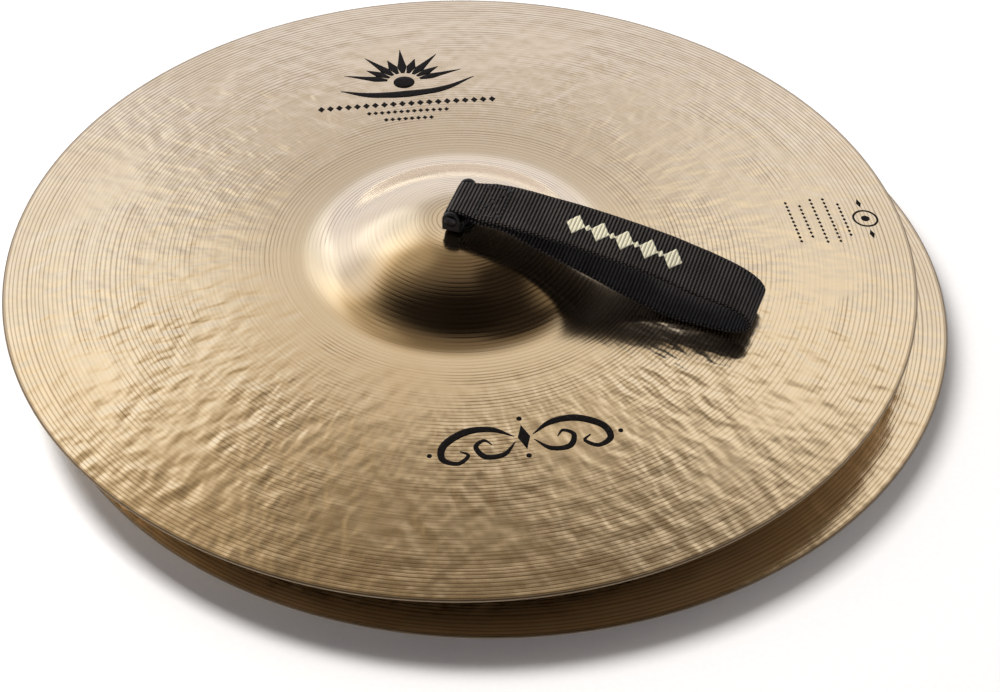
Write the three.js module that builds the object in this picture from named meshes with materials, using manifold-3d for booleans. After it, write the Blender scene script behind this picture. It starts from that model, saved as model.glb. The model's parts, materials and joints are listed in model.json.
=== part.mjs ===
// A pair of thin bronze hand cymbals stored one on the other, both with the bell up.
// Each cymbal carries a loop of webbing for the hand. The loop turns on a cross pin in a
// moulded yoke, and the yoke swivels on a bolt through the bushed hole in the bell.
//
// Millimetres, +Z up. The lower cymbal stands on the plane z = 0, and the origin lies on that
// plane under the middle of the pair. The upper cymbal lies to the left (-X) and leans a little
// to the front right.
import * as THREE from "three";
import { mergeVertices } from "three/addons/utils/BufferGeometryUtils.js";
import Module from "manifold-3d";

const wasm = await Module();
wasm.setup();

// ---- driving dimensions ----

const GAP = 0.3; // clearance between pieces that touch

// Cymbal: radii, and heights of its upper face above the upper edge of its rim
const RIM_RADIUS = 203.2; // a 16 inch cymbal
const BOW_START_RADIUS = 62; // the bow is level here and falls from here to the rim
const BELL_FOOT_RADIUS = 74; // where the flare of the bell has run out on to the bow
const BELL_STEEP_RADIUS = 50; // where the side of the bell is steepest
const BELL_TOP_RADIUS = 10; // the crown of the bell is flat inside this radius
const HOLE_RADIUS = 6.35;
const BOW_RISE = 12.5; // from the rim to where the bow starts
const BELL_RISE = 18.5; // from there to the crown of the bell
const BOW_POWER = 1.5; // how the bow curves down towards its rim
const EDGE_THICKNESS = 0.95;
const BELL_THICKNESS = 1.25;
const FOOT_WIDTH = 1.2; // flat ring under the rim
const BELL_STEPS = 10;
const BOW_STEPS = 5;

// How the upper cymbal lies on the lower one
const OFFSET_X = 14.9;
const OFFSET_Y = 1.4;
const STACK_HEIGHT = 25.7;
const LEAN = THREE.MathUtils.degToRad(1.15);
const LEAN_TOWARDS = THREE.MathUtils.degToRad(-54); // azimuth of its lowest edge

// Swivel through the bell
const BOLT_RADIUS = 2.5; // M5
const BOLT_HEAD_RADIUS = 4.5;
const BOLT_HEAD_HEIGHT = 2.2;
const FLANGE_RADIUS = 7.4;
const FLANGE_THICKNESS = 0.7;
const FELT_RADIUS = 11;
const FELT_THICKNESS = 2.4;
const WASHER_RADIUS = 8;
const WASHER_THICKNESS = 1.2;
const NUT_ACROSS_FLATS = 9;
const NUT_HEIGHT = 3.2;
const NUT_COLLAR_HEIGHT = 1.4;
const INSERT_RADIUS = 3.5;
const INSERT_HEIGHT = 1.1;
const BOLT_STANDS_PROUD = 0.8; // past the nut's collar

// Yoke and cross pin
const PIN_RADIUS = 2;
const PIN_ABOVE_BELL = 9; // pin axis above the crown of the bell
const PIN_HEAD_RADIUS = 2.7;
const PIN_HEAD_LENGTH = 0.8;
const CLIP_RADIUS = 3.1;
const CLIP_THICKNESS = 0.6;
const GROOVE_RADIUS = 1.4;
const EAR_THICKNESS = 1.8;
const EAR_RADIUS = 4; // half the width of the arms, and their rounded tops about the pin
const BOSS_RADIUS = 6.2; // round middle of the yoke, about the bolt's head
const YOKE_BASE_THICKNESS = 2.7;
const ARM_CHAMFER = 2.6; // under the outer end of each arm

// Webbing
const WEB_WIDTH = 25.4; // 1 inch webbing
const NECK_WIDTH = 21.4; // where it is drawn in to pass round the pin
const NECK_END = 3; // distance from the pin at which it starts to widen
const FULL_WIDTH_AT = 13; // distance from the pin at which it has its full width
const WEB_THICKNESS = 2;
const WEB_SIDE_GAP = 0.4; // to each ear
const STEPS_PER_POINT = 3; // of the middle lines below

// ---- heights of the swivel stack above the cymbal's own rim plane ----

const BELL_TOP = EDGE_THICKNESS + BOW_RISE + BELL_RISE;
const BELL_UNDER = BELL_TOP - BELL_THICKNESS;
const FLANGE_TOP = BELL_TOP + GAP + FLANGE_THICKNESS;
const YOKE_BOTTOM = FLANGE_TOP + GAP;
const YOKE_FLOOR = YOKE_BOTTOM + YOKE_BASE_THICKNESS;
const FELT_BOTTOM = BELL_UNDER - GAP - FELT_THICKNESS;
const WASHER_BOTTOM = FELT_BOTTOM - GAP - WASHER_THICKNESS;
const NUT_TOP = WASHER_BOTTOM - GAP;
const NUT_SHOULDER = NUT_TOP - NUT_HEIGHT;
const NUT_BOTTOM = NUT_SHOULDER - NUT_COLLAR_HEIGHT;
const BOLT_END = NUT_BOTTOM - BOLT_STANDS_PROUD;
const PIN_AXIS = BELL_TOP + PIN_ABOVE_BELL;

const EAR_INSIDE = NECK_WIDTH / 2 + WEB_SIDE_GAP;
const EAR_OUTSIDE = EAR_INSIDE + EAR_THICKNESS;

// ---- webbing loops ----

// Middle line of each loop from the top of the pin, out along the top run, round the fold and
// back along the bottom run. x is the distance from the pin, y the height above its axis.
// The two runs lie on each other where they are sewn together, just past the pin.
// Both loops are the same length of webbing.
const LOOSE_LOOP = [
  [9, 3.6], [15, 3.8], [22, 3.9], [32, 3.3], [41, 2.4], [50, 1.6], [59, 0.4], [68, -0.9],
  [77, -2.4], [86, -4.1], [95, -6.1], [104, -8.7], [113, -11.1], [122, -13.5], [129, -16.2],
  [133.5, -19.2], [135.6, -22.6], [134.6, -26], [130, -28.3], [123, -29.2], [115, -28.9],
  [108, -28.4], [102, -27.8], [96, -26.2], [90, -24.2], [83, -21.4], [75, -18.3], [61, -12.8],
  [46, -7.2], [35, -3.2], [28, -0.4], [22, 1.5], [15, 1.5], [9, 1.2], [5, -0.9],
];
const FLAT_LOOP = [
  [8, 3.2], [14, 2.3], [20, 0.5], [26, -2.2], [34, -5.9], [42, -10.1], [50, -14.3],
  [58, -17.8], [68, -20.2], [84, -21.5], [102, -22.3], [118, -23.3], [129.8, -24.6],
  [134.2, -25.8], [135.8, -27.7], [134, -29.6], [127.8, -29.9], [116, -29], [102, -27.8],
  [90, -26.8], [76, -25.9], [66, -24.9], [58, -22.4], [50, -18.4], [42, -14.3], [34, -10.2],
  [26, -5.7], [20, -1.9], [14, 0], [8, 0.9], [4.6, -1],
];

// ---- materials ----

const metal = (color, roughness) =>
  new THREE.MeshStandardMaterial({ color, roughness, metalness: 1 });
const plain = (color, roughness) =>
  new THREE.MeshStandardMaterial({ color, roughness, metalness: 0 });

const BRONZE = metal(0xc9ab7d, 0.35);
const STEEL = metal(0xb4b6b8, 0.3);
const BLACK_STEEL = metal(0x2a2a2c, 0.4);
const MOULDED = plain(0x151416, 0.45);
const WHITE_NYLON = plain(0xdedbd0, 0.5);
const FELT = plain(0x5c5a57, 0.95);
const WEBBING = plain(0x17151a, 0.8);

// ---- geometry helpers ----

// A solid turned about Z from [radius, height] points. The points run up the outside of the
// section and down its inside.
function turned(profile, segments) {
  const points = profile.map(([radius, height]) => new THREE.Vector2(radius, height));
  return new THREE.LatheGeometry([...points, points[0]], segments).rotateX(Math.PI / 2);
}

// A solid disc or ring with square edges, about Z.
function ring(inner, outer, bottom, top, segments) {
  return turned([[inner, bottom], [outer, bottom], [outer, top], [inner, top]], segments);
}

// A rod along Y, from [radius, y] points that start and end on its axis.
function rodAlongY(profile, segments) {
  const points = profile.map(([radius, y]) => new THREE.Vector2(radius, y));
  return new THREE.LatheGeometry(points, segments);
}

// An outline in the XY plane, made solid from z = `bottom` up.
function slabUpZ(shape, bottom, height) {
  const settings = { depth: height, bevelEnabled: false, curveSegments: 8 };
  return new THREE.ExtrudeGeometry(shape, settings).translate(0, 0, bottom);
}

// An outline in the XZ plane, made `width` thick about y = 0.
function slabAcrossY(shape, width) {
  return slabUpZ(shape, 0, width).rotateX(Math.PI / 2).translate(0, width / 2, 0);
}

// An outline in the YZ plane, made `width` thick about x = 0.
function slabAcrossX(shape, width) {
  return slabAcrossY(shape, width).rotateZ(Math.PI / 2);
}

function toSolid(geometry) {
  const bare = geometry.clone();
  bare.deleteAttribute("normal");
  bare.deleteAttribute("uv");
  const merged = mergeVertices(bare, 1e-3);
  const vertProperties = merged.attributes.position.array;
  const triVerts = new Uint32Array(merged.index.array);
  return new wasm.Manifold(new wasm.Mesh({ numProp: 3, vertProperties, triVerts }));
}

function toGeometry(solid) {
  const { vertProperties, triVerts } = solid.getMesh();
  const geometry = new THREE.BufferGeometry();
  geometry.setAttribute("position", new THREE.BufferAttribute(vertProperties, 3));
  geometry.setIndex(new THREE.BufferAttribute(triVerts, 1));
  geometry.computeVertexNormals();
  return geometry;
}

// ---- the cymbal ----

// Height of the bell over the bow: its side steepens evenly from the flat crown to the
// steepest ring, and eases out from there to the foot.
function bellHeight(radius) {
  const dome = BELL_STEEP_RADIUS - BELL_TOP_RADIUS;
  const flare = BELL_FOOT_RADIUS - BELL_STEEP_RADIUS;
  const steepest = BELL_RISE / ((dome + flare) / 2);
  const overDome = THREE.MathUtils.clamp((radius - BELL_TOP_RADIUS) / dome, 0, 1);
  const overFlare = THREE.MathUtils.clamp((radius - BELL_STEEP_RADIUS) / flare, 0, 1);
  const leftOfDome = (dome / 2) * (1 - overDome ** 2);
  const leftOfFlare = flare * ((1 - overFlare) / 2 - Math.sin(Math.PI * overFlare) / (2 * Math.PI));
  return steepest * (leftOfDome + leftOfFlare);
}

// Height of the cymbal's upper face over its rim plane.
function upperFace(radius) {
  const bowShare = Math.max(0, radius - BOW_START_RADIUS) / (RIM_RADIUS - BOW_START_RADIUS);
  const bow = BOW_RISE * (1 - bowShare ** BOW_POWER);
  return EDGE_THICKNESS + bow + bellHeight(radius);
}

// Height of its lower face: the metal thins from the bell to the edge, square to the surface.
function lowerFace(radius) {
  const step = 0.01;
  const slope = (upperFace(radius - step) - upperFace(radius + step)) / (2 * step);
  const share = radius / RIM_RADIUS;
  const thickness = THREE.MathUtils.lerp(BELL_THICKNESS, EDGE_THICKNESS, share);
  return upperFace(radius) - thickness * Math.hypot(1, slope);
}

// Radii where the section needs a point, from the hole out to the rim.
function sectionRadii() {
  const radii = [HOLE_RADIUS];
  for (let i = 0; i <= BELL_STEPS; i++) {
    radii.push(THREE.MathUtils.lerp(BELL_TOP_RADIUS, BELL_FOOT_RADIUS, i / BELL_STEPS));
  }
  for (let i = 1; i < BOW_STEPS; i++) {
    radii.push(THREE.MathUtils.lerp(BELL_FOOT_RADIUS, RIM_RADIUS, i / BOW_STEPS));
  }
  return radii;
}

function cymbal() {
  const radii = sectionRadii();
  const under = radii.map((radius) => [radius, lowerFace(radius)]);
  const above = radii.map((radius) => [radius, upperFace(radius)]).reverse();
  const rim = [[RIM_RADIUS - FOOT_WIDTH, 0], [RIM_RADIUS, 0], [RIM_RADIUS, upperFace(RIM_RADIUS)]];
  return turned([...under, ...rim, ...above], 60);
}

// ---- the swivel ----

// Nylon sleeve that lines the hole, with a flange on the crown of the bell.
function holeBush() {
  const bore = BOLT_RADIUS + GAP;
  const sleeve = HOLE_RADIUS - GAP;
  const flangeBottom = BELL_TOP + GAP;
  return turned(
    [
      [bore, BELL_UNDER],
      [sleeve, BELL_UNDER],
      [sleeve, flangeBottom],
      [FLANGE_RADIUS, flangeBottom],
      [FLANGE_RADIUS, FLANGE_TOP],
      [bore, FLANGE_TOP],
    ],
    24,
  );
}

// Countersunk bolt, head up, with its end chamfered.
function swivelBolt() {
  const chamfer = 0.6;
  const headTop = YOKE_FLOOR - GAP / 3;
  return turned(
    [
      [0, BOLT_END],
      [BOLT_RADIUS - chamfer, BOLT_END],
      [BOLT_RADIUS, BOLT_END + chamfer],
      [BOLT_RADIUS, headTop - BOLT_HEAD_HEIGHT],
      [BOLT_HEAD_RADIUS, headTop - GAP],
      [BOLT_HEAD_RADIUS, headTop],
      [0, headTop],
    ],
    24,
  );
}

// Hexagon nut with a round collar below it, recessed for the nylon insert.
function lockNut() {
  const bore = BOLT_RADIUS + GAP;
  const hexagon = ring(bore, NUT_ACROSS_FLATS / Math.sqrt(3), NUT_SHOULDER, NUT_TOP, 6);
  const collar = ring(bore, NUT_ACROSS_FLATS / 2 - GAP / 2, NUT_BOTTOM, NUT_SHOULDER + GAP, 24);
  const recess = ring(0, INSERT_RADIUS + GAP, NUT_BOTTOM - 1, NUT_SHOULDER, 24);
  const thread = ring(0, bore, NUT_BOTTOM - 1, NUT_TOP + 1, 24);
  const body = toSolid(hexagon).add(toSolid(collar));
  return toGeometry(body.subtract(toSolid(recess)).subtract(toSolid(thread)));
}

// ---- the yoke and its pin ----

// Seen from above: a round boss with a narrower arm to each side.
function yokePlan() {
  const corner = 2;
  const bossMeetsArm = Math.acos(EAR_RADIUS / BOSS_RADIUS);
  const plan = new THREE.Shape();
  plan.absarc(EAR_RADIUS - corner, EAR_OUTSIDE - corner, corner, 0, Math.PI / 2, false);
  plan.absarc(corner - EAR_RADIUS, EAR_OUTSIDE - corner, corner, Math.PI / 2, Math.PI, false);
  plan.absarc(0, 0, BOSS_RADIUS, Math.PI - bossMeetsArm, Math.PI + bossMeetsArm, false);
  plan.absarc(corner - EAR_RADIUS, corner - EAR_OUTSIDE, corner, Math.PI, 1.5 * Math.PI, false);
  plan.absarc(EAR_RADIUS - corner, corner - EAR_OUTSIDE, corner, 1.5 * Math.PI, 0, false);
  plan.absarc(0, 0, BOSS_RADIUS, -bossMeetsArm, bossMeetsArm, false);
  return plan;
}

// Seen along the strap: a channel for the webbing, chamfered below.
function yokeChannel() {
  const top = PIN_AXIS + EAR_RADIUS + 1;
  const channel = new THREE.Shape();
  channel.moveTo(ARM_CHAMFER - EAR_OUTSIDE, YOKE_BOTTOM);
  channel.lineTo(EAR_OUTSIDE - ARM_CHAMFER, YOKE_BOTTOM);
  channel.lineTo(EAR_OUTSIDE, YOKE_BOTTOM + ARM_CHAMFER);
  channel.lineTo(EAR_OUTSIDE, top);
  channel.lineTo(EAR_INSIDE, top);
  channel.lineTo(EAR_INSIDE, YOKE_FLOOR);
  channel.lineTo(-EAR_INSIDE, YOKE_FLOOR);
  channel.lineTo(-EAR_INSIDE, top);
  channel.lineTo(-EAR_OUTSIDE, top);
  channel.lineTo(-EAR_OUTSIDE, YOKE_BOTTOM + ARM_CHAMFER);
  channel.closePath();
  return channel;
}

// Seen along the pin: the ears' round tops, and room for the boss below them.
function yokeEnds() {
  const ends = new THREE.Shape();
  ends.moveTo(-BOSS_RADIUS, YOKE_BOTTOM - 1);
  ends.lineTo(BOSS_RADIUS, YOKE_BOTTOM - 1);
  ends.lineTo(BOSS_RADIUS, YOKE_FLOOR + GAP);
  ends.lineTo(EAR_RADIUS, YOKE_FLOOR + GAP);
  ends.absarc(0, PIN_AXIS, EAR_RADIUS, 0, Math.PI, false);
  ends.lineTo(-EAR_RADIUS, YOKE_FLOOR + GAP);
  ends.lineTo(-BOSS_RADIUS, YOKE_FLOOR + GAP);
  ends.closePath();
  return ends;
}

function yoke() {
  const height = PIN_AXIS + EAR_RADIUS - YOKE_BOTTOM + 1;
  const pinHole = rodAlongY(
    [[0, -EAR_OUTSIDE - 1], [PIN_RADIUS + GAP, -EAR_OUTSIDE - 1],
     [PIN_RADIUS + GAP, EAR_OUTSIDE + 1], [0, EAR_OUTSIDE + 1]],
    24,
  ).translate(0, 0, PIN_AXIS);
  const boltHole = turned(
    [
      [0, YOKE_BOTTOM - 1],
      [BOLT_RADIUS + GAP, YOKE_BOTTOM - 1],
      [BOLT_RADIUS + GAP, YOKE_FLOOR - BOLT_HEAD_HEIGHT - GAP],
      [BOLT_HEAD_RADIUS + GAP, YOKE_FLOOR - 2 * GAP],
      [BOLT_HEAD_RADIUS + GAP, YOKE_FLOOR + 1],
      [0, YOKE_FLOOR + 1],
    ],
    24,
  );
  const body = toSolid(slabUpZ(yokePlan(), YOKE_BOTTOM, height))
    .intersect(toSolid(slabAcrossX(yokeChannel(), 2 * BOSS_RADIUS + 2)))
    .intersect(toSolid(slabAcrossY(yokeEnds(), 2 * EAR_OUTSIDE + 2)));
  return toGeometry(body.subtract(toSolid(pinHole)).subtract(toSolid(boltHole)));
}

// Pin with a head at the -Y end and a groove for the clip at the other.
function crossPin() {
  const headFace = -(EAR_OUTSIDE + GAP);
  const grooveStart = EAR_OUTSIDE + GAP;
  const grooveEnd = grooveStart + CLIP_THICKNESS + 2 * GAP;
  const end = grooveEnd + 1;
  return rodAlongY(
    [
      [0, headFace - PIN_HEAD_LENGTH],
      [PIN_HEAD_RADIUS - GAP, headFace - PIN_HEAD_LENGTH],
      [PIN_HEAD_RADIUS, headFace - PIN_HEAD_LENGTH + GAP],
      [PIN_HEAD_RADIUS, headFace],
      [PIN_RADIUS, headFace],
      [PIN_RADIUS, grooveStart],
      [GROOVE_RADIUS, grooveStart],
      [GROOVE_RADIUS, grooveEnd],
      [PIN_RADIUS, grooveEnd],
      [PIN_RADIUS, end - GAP],
      [PIN_RADIUS - GAP, end],
      [0, end],
    ],
    24,
  ).translate(0, 0, PIN_AXIS);
}

// Open ring that snaps into the pin's groove, its mouth to +X.
function pinClip() {
  const mouth = THREE.MathUtils.degToRad(35);
  const inner = GROOVE_RADIUS + GAP;
  const shape = new THREE.Shape();
  shape.absarc(0, 0, CLIP_RADIUS, mouth, 2 * Math.PI - mouth, false);
  shape.absarc(0, 0, inner, 2 * Math.PI - mouth, mouth, true);
  shape.closePath();
  const middle = EAR_OUTSIDE + 2 * GAP + CLIP_THICKNESS / 2;
  return slabAcrossY(shape, CLIP_THICKNESS).translate(0, middle, PIN_AXIS);
}

// ---- the webbing loop ----

// What is cut from one edge of the webbing to draw it in round the pin.
function neckCut() {
  const reach = 2 * FULL_WIDTH_AT;
  const plan = new THREE.Shape();
  plan.moveTo(-reach, NECK_WIDTH / 2);
  plan.lineTo(NECK_END, NECK_WIDTH / 2);
  plan.lineTo(FULL_WIDTH_AT, WEB_WIDTH / 2);
  plan.lineTo(FULL_WIDTH_AT, WEB_WIDTH);
  plan.lineTo(-reach, WEB_WIDTH);
  plan.closePath();
  return slabUpZ(plan, -reach, 2 * reach);
}

// A band of webbing: a closed middle line, half a thickness to each side, made WEB_WIDTH wide
// and narrower at the pin.
function strap(loop) {
  const wrap = PIN_RADIUS + 0.35 + WEB_THICKNESS / 2;
  const roundPin = [270, 225, 180, 135, 90].map((degrees) => {
    const angle = THREE.MathUtils.degToRad(degrees);
    return new THREE.Vector3(wrap * Math.cos(angle), wrap * Math.sin(angle), 0);
  });
  const run = loop.map(([x, y]) => new THREE.Vector3(x, y, 0));
  const middle = new THREE.CatmullRomCurve3([...roundPin, ...run], true);
  const outer = [];
  const inner = [];
  const steps = STEPS_PER_POINT * middle.points.length;
  for (let i = 0; i < steps; i++) {
    const point = middle.getPoint(i / steps);
    const along = middle.getTangent(i / steps);
    const side = new THREE.Vector2(-along.y, along.x).multiplyScalar(WEB_THICKNESS / 2);
    outer.push(new THREE.Vector2(point.x + side.x, point.y + side.y));
    inner.push(new THREE.Vector2(point.x - side.x, point.y - side.y));
  }
  const filled = toSolid(slabAcrossY(new THREE.Shape(outer), WEB_WIDTH));
  const inside = toSolid(slabAcrossY(new THREE.Shape(inner), WEB_WIDTH + 2));
  const nearCut = toSolid(neckCut());
  const farCut = nearCut.mirror([0, 1, 0]);
  const band = filled.subtract(inside).subtract(nearCut).subtract(farCut);
  return toGeometry(band).translate(0, 0, PIN_AXIS);
}

// ---- assembly ----

function piece(name, geometry, material) {
  const mesh = new THREE.Mesh(geometry, material);
  mesh.name = name;
  return mesh;
}

// One cymbal with its swivel and strap. The strap points along `heading` degrees.
function handCymbal(prefix, heading, loop) {
  const group = new THREE.Group();
  const bore = BOLT_RADIUS + GAP;
  const felt = ring(bore, FELT_RADIUS, FELT_BOTTOM, FELT_BOTTOM + FELT_THICKNESS, 24);
  const washer = ring(bore, WASHER_RADIUS, WASHER_BOTTOM, WASHER_BOTTOM + WASHER_THICKNESS, 24);
  const insertTop = NUT_SHOULDER - GAP / 2;
  const insert = ring(bore, INSERT_RADIUS, insertTop - INSERT_HEIGHT, insertTop, 24);
  group.add(
    piece(prefix + "_cymbal", cymbal(), BRONZE),
    piece(prefix + "_hole_bush", holeBush(), MOULDED),
    piece(prefix + "_swivel_bolt", swivelBolt(), STEEL),
    piece(prefix + "_felt_washer", felt, FELT),
    piece(prefix + "_steel_washer", washer, STEEL),
    piece(prefix + "_lock_nut", lockNut(), STEEL),
    piece(prefix + "_nut_insert", insert, WHITE_NYLON),
  );
  const swivel = new THREE.Group();
  swivel.rotation.z = THREE.MathUtils.degToRad(heading);
  swivel.add(
    piece(prefix + "_yoke", yoke(), MOULDED),
    piece(prefix + "_cross_pin", crossPin(), BLACK_STEEL),
    piece(prefix + "_pin_clip", pinClip(), BLACK_STEEL),
    piece(prefix + "_strap", strap(loop), WEBBING),
  );
  group.add(swivel);
  return group;
}

const pair = new THREE.Group();

const lower = handCymbal("lower", 180, FLAT_LOOP);
lower.position.set(OFFSET_X / 2, OFFSET_Y / 2, 0);
pair.add(lower);

const upper = handCymbal("upper", -18.5, LOOSE_LOOP);
upper.position.set(-OFFSET_X / 2, -OFFSET_Y / 2, STACK_HEIGHT);
upper.quaternion.setFromAxisAngle(
  new THREE.Vector3(-Math.sin(LEAN_TOWARDS), Math.cos(LEAN_TOWARDS), 0),
  LEAN,
);
pair.add(upper);

export default pair;
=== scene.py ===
"""Looks of a nested pair of bronze hand cymbals with webbing hand straps.

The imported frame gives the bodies, joints and boxes. Shapes are worked out in millimetres in
each cymbal's own frame (origin under its hole on its rim plane) and placed in metres.
"""
import json
import math

import bpy
import numpy as np
from bpy.types import NodeSocket
from mathutils import Matrix, Vector


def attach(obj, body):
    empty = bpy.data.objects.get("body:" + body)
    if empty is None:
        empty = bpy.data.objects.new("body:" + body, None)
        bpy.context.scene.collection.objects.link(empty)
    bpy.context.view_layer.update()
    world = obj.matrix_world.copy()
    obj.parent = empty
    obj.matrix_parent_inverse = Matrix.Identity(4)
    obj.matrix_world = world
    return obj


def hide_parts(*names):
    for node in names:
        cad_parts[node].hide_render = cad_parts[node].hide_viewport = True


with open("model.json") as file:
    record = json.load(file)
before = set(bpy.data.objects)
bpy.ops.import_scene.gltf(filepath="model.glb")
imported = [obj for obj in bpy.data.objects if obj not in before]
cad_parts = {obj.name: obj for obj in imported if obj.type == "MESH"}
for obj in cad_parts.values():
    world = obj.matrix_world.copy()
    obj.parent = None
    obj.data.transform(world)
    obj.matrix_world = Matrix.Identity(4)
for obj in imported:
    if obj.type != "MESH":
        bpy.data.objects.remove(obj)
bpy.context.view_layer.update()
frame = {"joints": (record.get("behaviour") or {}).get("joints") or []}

MM = 0.001
JOINTS = {joint["name"]: joint for joint in frame["joints"]}

# ---- sizes, the same as the CAD's, in millimetres ----

RIM_RADIUS = 203.2
BOW_START_RADIUS = 62.0
BELL_FOOT_RADIUS = 74.0
BELL_STEEP_RADIUS = 50.0
BELL_TOP_RADIUS = 10.0
HOLE_RADIUS = 6.35
BOW_RISE = 12.5
BELL_RISE = 18.5
BOW_POWER = 1.5
EDGE_THICKNESS = 0.95
BELL_THICKNESS = 1.25

BOLT_RADIUS = 2.5
BOLT_HEAD_RADIUS = 4.5
BORE_RADIUS = 2.8
BUSH_RADIUS = 6.05
BUSH_FLANGE_RADIUS = 7.4
FELT_RADIUS = 11.0
FELT_HEIGHT = 2.4
WASHER_RADIUS = 8.0
WASHER_HEIGHT = 1.2
NUT_HALF_FLATS = 4.5
NUT_HEIGHT = 4.6
PIN_RADIUS = 2.0
WEB_WIDTH = 25.4
WEB_THICKNESS = 2.0
NECK_WIDTH = 21.4
NECK_END = 3.0
FULL_WIDTH_AT = 13.0
RIB_PITCH = 1.62
RIB_HEIGHT = 0.5
ROWS_PER_RIB = 9
RIB_UNEVENNESS = (0.78, 1.0)
RIB_SEED = 3

# Middle line of each webbing loop: distance from the pin, height above the pin
LOOSE_LOOP = [
    (9, 3.6), (15, 3.8), (22, 3.9), (32, 3.3), (41, 2.4), (50, 1.6), (59, 0.4), (68, -0.9),
    (77, -2.4), (86, -4.1), (95, -6.1), (104, -8.7), (113, -11.1), (122, -13.5), (129, -16.2),
    (133.5, -19.2), (135.6, -22.6), (134.6, -26), (130, -28.3), (123, -29.2), (115, -28.9),
    (108, -28.4), (102, -27.8), (96, -26.2), (90, -24.2), (83, -21.4), (75, -18.3),
    (61, -12.8), (46, -7.2), (35, -3.2), (28, -0.4), (22, 1.5), (15, 1.5), (9, 1.2), (5, -0.9),
]
FLAT_LOOP = [
    (8, 3.2), (14, 2.3), (20, 0.5), (26, -2.2), (34, -5.9), (42, -10.1), (50, -14.3),
    (58, -17.8), (68, -20.2), (84, -21.5), (102, -22.3), (118, -23.3), (129.8, -24.6),
    (134.2, -25.8), (135.8, -27.7), (134, -29.6), (127.8, -29.9), (116, -29), (102, -27.8),
    (90, -26.8), (76, -25.9), (66, -24.9), (58, -22.4), (50, -18.4), (42, -14.3), (34, -10.2),
    (26, -5.7), (20, -1.9), (14, 0), (8, 0.9), (4.6, -1),
]
# How far the loose loop leans up towards its far edge: distance from the pin, slope
LEAN = [(0, 0), (8, 0.02), (20, 0.047), (50, 0.07), (85, 0.1), (111, 0.155), (126, 0.08), (136, 0)]
# The stretch of both runs that is sewn together, and half the width of its stitching
SEWN_FROM, SEWN_TO, SEWN_HALF = 9.8, 21.0, 9.6
STITCH_PITCH = 2.4
THREAD_RADIUS = 0.26
# How far printed ink stands out of what it is printed on
INK_PROUD = 0.06

# ---- the bronze's finish: radii in millimetres, heights in metres ----

BELL_GROOVE_PITCH = 1.9
BOW_GROOVE_PITCH = 1.95
GROOVE_DEPTH = 0.000018
FINE_LINE_HEIGHT = 0.000014
FINEST_LINE_HEIGHT = 0.000004
DAPPLE_HEIGHT = 0.00055
# Dapples of noise to a radian round the axis, and to a metre along the radius
DAPPLES_AROUND = 25
DAPPLES_ALONG = 105
SMOOTH_RING_RADIUS = 70.0
SMOOTH_RING_START, SMOOTH_RING_END = 3.0, 10.0
HAMMERED_FROM, HAMMERED_FULLY = 78.0, 120.0
RIM_TURNING_FROM, RIM_TURNING_FULLY = 165.0, 192.0
# An outer ring underneath is dulled and painted paler; the paler colour is painted light, which the
# lower cymbal's face mirrors in the gap
DULL_AND_PAINTED_LIGHT_FROM, DULL_AND_PAINTED_LIGHT_FULLY = 158.0, 194.0
EDGE_FROM, EDGE_FULLY = 201.8, 202.8
BELL_FINISH_END, BOW_FINISH_START = 60.0, 76.0

# ---- the hammer marks' draws, in millimetres ----

HAMMER_MARKS = 2000
MARKED_FROM, MARKED_TO = 76, 201
STROKE_SHARE = 0.3
STROKE_HALF_LENGTH, STROKE_HALF_WIDTH = (7, 14), (2.2, 3.4)
DAPPLE_HALF_LENGTH, DAPPLE_HALF_WIDTH = (2.4, 6.0), (1.9, 4.0)
MARK_DEPTH = (0.02, 0.09)
DEPTH_AT_HALF_WIDTH = 3.5
MARK_SLANT = 0.2


# ---- frames ----

def axes_at(origin, right, back, up):
    """The matrix of a frame with this origin and these axes."""
    return Matrix.Translation(origin) @ Matrix((right, back, up)).transposed().to_4x4()


def cymbal_frame(prefix):
    """The cymbal's own frame in the row frame: Z along its swivel, X as near +X as it can be."""
    joint = JOINTS[prefix + "_swivel"]
    up = Vector(joint["axis"]).normalized()
    right = Vector((1, 0, 0))
    right = (right - up * right.dot(up)).normalized()
    return axes_at(Vector(joint["pos_m"]), right, up.cross(right), up)


def strap_frame(prefix):
    """The strap's own frame: X along the strap, Y along the pin, origin under the pin."""
    swivel = JOINTS[prefix + "_swivel"]
    up = Vector(swivel["axis"]).normalized()
    along_pin = -Vector(JOINTS[prefix + "_strap_hinge"]["axis"]).normalized()
    ahead = along_pin.cross(up).normalized()
    return axes_at(Vector(swivel["pos_m"]), ahead, up.cross(ahead), up)


def show(made):
    """Put an object in the scene."""
    bpy.context.scene.collection.objects.link(made)
    return made


# ---- node helpers ----

def new_material(name):
    material = bpy.data.materials.new(name)
    material.use_nodes = True
    return material


def source(owner, kind, output, **settings):
    """An output of a node without inputs, in a material or a world."""
    made = owner.node_tree.nodes.new(kind)
    for key, value in settings.items():
        setattr(made, key, value)
    return made.outputs[output]


def attribute(material, name):
    return source(material, "ShaderNodeAttribute", "Vector", attribute_name=name)


def object_coordinates(material):
    return source(material, "ShaderNodeTexCoord", "Object")


def node(kind, inputs, **settings):
    """The outputs of a node, made in the tree that its inputs come from. Each input is linked if
    it is given a socket, or else set."""
    inputs = dict(inputs)
    tree = next(value.id_data for value in inputs.values() if isinstance(value, NodeSocket))
    made = tree.nodes.new(kind)
    for key, value in settings.items():
        setattr(made, key, value)
    for key, value in inputs.items():
        if isinstance(value, NodeSocket):
            tree.links.new(value, made.inputs[key])
        else:
            made.inputs[key].default_value = value
    return made.outputs


def calc(operation, *values):
    """The result of one Math node."""
    return node("ShaderNodeMath", enumerate(values), operation=operation)[0]


def times(*factors):
    """The product of several values."""
    product = factors[0]
    for factor in factors[1:]:
        product = calc("MULTIPLY", product, factor)
    return product


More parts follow.
